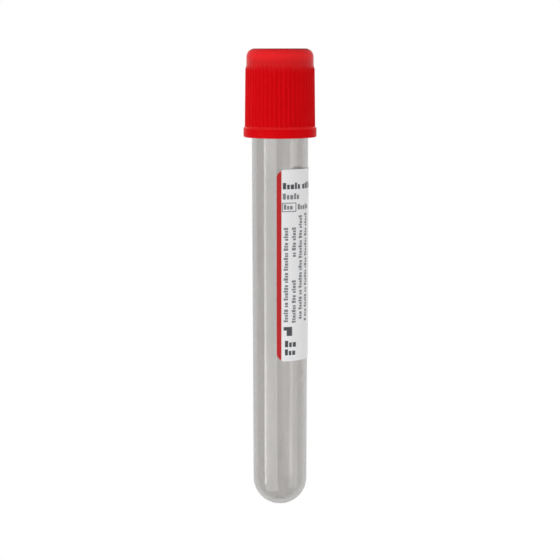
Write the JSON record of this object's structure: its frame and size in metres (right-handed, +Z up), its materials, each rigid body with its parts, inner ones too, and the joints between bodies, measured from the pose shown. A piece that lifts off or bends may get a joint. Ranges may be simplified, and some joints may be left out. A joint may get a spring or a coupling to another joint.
{
  "type": "blood collection tube",
  "caption": "Clear round-bottomed plastic tube with a paper label wrapped part way round, closed by a rubber stopper under a ribbed push-on plastic shield.",
  "frame": {"origin": "on the surface that the closure's flat crown stands on, on the tube's axis", "axes": "+Z up along the tube's axis, from the closure's crown to the tube's round bottom; -Y towards the front, where the label's coloured edge is; +X completes the right-handed frame, on the side away from the label"},
  "size_m": [0.0166, 0.0166, 0.1061],
  "materials": {
    "clear_plastic": "clear, glossy, moulded PET",
    "label_paper": "smooth white label paper with a red edge and dark grey print fields",
    "red_plastic": "glossy red, injection moulded",
    "red_rubber": "satin dark red rubber"
  },
  "bodies": {
    "closure": {"closure_shield": "red_plastic", "stopper": "red_rubber"},
    "tube_body": {"tube": "clear_plastic", "label": "label_paper"}
  },
  "joints": [
    {"name": "closure_pull", "type": "slide", "parent": "closure", "child": "tube_body", "axis": [0, 0, 1], "range_m": [0, 0.025]}
  ]
}
